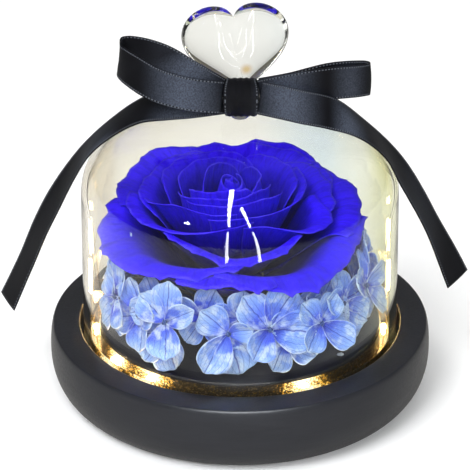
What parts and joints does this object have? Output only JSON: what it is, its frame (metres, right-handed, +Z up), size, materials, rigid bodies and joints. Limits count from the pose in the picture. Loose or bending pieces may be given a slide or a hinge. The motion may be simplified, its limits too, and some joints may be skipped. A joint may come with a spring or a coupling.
{
  "type": "preserved flower in a glass dome",
  "caption": "Decorative glass dome with a heart knob and ribbon bow over a blue preserved rose and hydrangea, on a round black base with fairy lights.",
  "frame": {"origin": "centre of the base's flat underside", "axes": "+Z up through the dome's neck, -Y towards the front with the bow"},
  "size_m": [0.1483, 0.12, 0.1268],
  "materials": {
    "black_paint": "satin black paint",
    "cover_plastic": "matt",
    "disc_black": "satin",
    "clear_glass": "clear, polished",
    "light_wire": "bare",
    "light_bead": "clear drop, lit warm white",
    "black_satin": "satin sheen",
    "receptacle": "dyed, matt",
    "blue_petal": "velvety, ultramarine dye",
    "hydrangea_petal": "dry petal, pale blue with darker veins"
  },
  "bodies": {
    "root": {"base": "black_paint", "battery_cover": "cover_plastic", "flower_platform": "disc_black", "glass_dome": "clear_glass", "led_wire": "light_wire", "rose_receptacle": "receptacle", "rose_bud": "blue_petal", "led_01": "light_bead", "led_02": "light_bead", "led_03": "light_bead", "led_04": "light_bead", "led_05": "light_bead", "led_06": "light_bead", "led_07": "light_bead", "led_08": "light_bead", "led_09": "light_bead", "led_10": "light_bead", "ribbon_knot": "black_satin", "ribbon_neck_band": "black_satin", "ribbon_loop_left": "black_satin", "ribbon_tail_left": "black_satin", "ribbon_loop_right": "black_satin", "ribbon_tail_right": "black_satin", "rose_petal_01": "blue_petal", "rose_petal_02": "blue_petal", "rose_petal_03": "blue_petal", "rose_petal_04": "blue_petal", "rose_petal_05": "blue_petal", "rose_petal_06": "blue_petal", "rose_petal_07": "blue_petal", "rose_petal_08": "blue_petal", "rose_petal_09": "blue_petal", "rose_petal_10": "blue_petal", "rose_petal_11": "blue_petal", "rose_petal_12": "blue_petal", "rose_petal_13": "blue_petal", "rose_petal_14": "blue_petal", "rose_petal_15": "blue_petal", "rose_petal_16": "blue_petal", "rose_petal_17": "blue_petal", "rose_petal_18": "blue_petal", "rose_petal_19": "blue_petal", "rose_petal_20": "blue_petal", "rose_petal_21": "blue_petal", "rose_petal_22": "blue_petal", "hydrangea_01": "hydrangea_petal", "hydrangea_02": "hydrangea_petal", "hydrangea_03": "hydrangea_petal", "hydrangea_04": "hydrangea_petal", "hydrangea_05": "hydrangea_petal", "hydrangea_06": "hydrangea_petal", "hydrangea_07": "hydrangea_petal", "hydrangea_08": "hydrangea_petal", "hydrangea_09": "hydrangea_petal", "hydrangea_10": "hydrangea_petal", "hydrangea_11": "hydrangea_petal", "hydrangea_12": "hydrangea_petal", "hydrangea_13": "hydrangea_petal", "hydrangea_14": "hydrangea_petal", "hydrangea_15": "hydrangea_petal"}
  },
  "joints": []
}
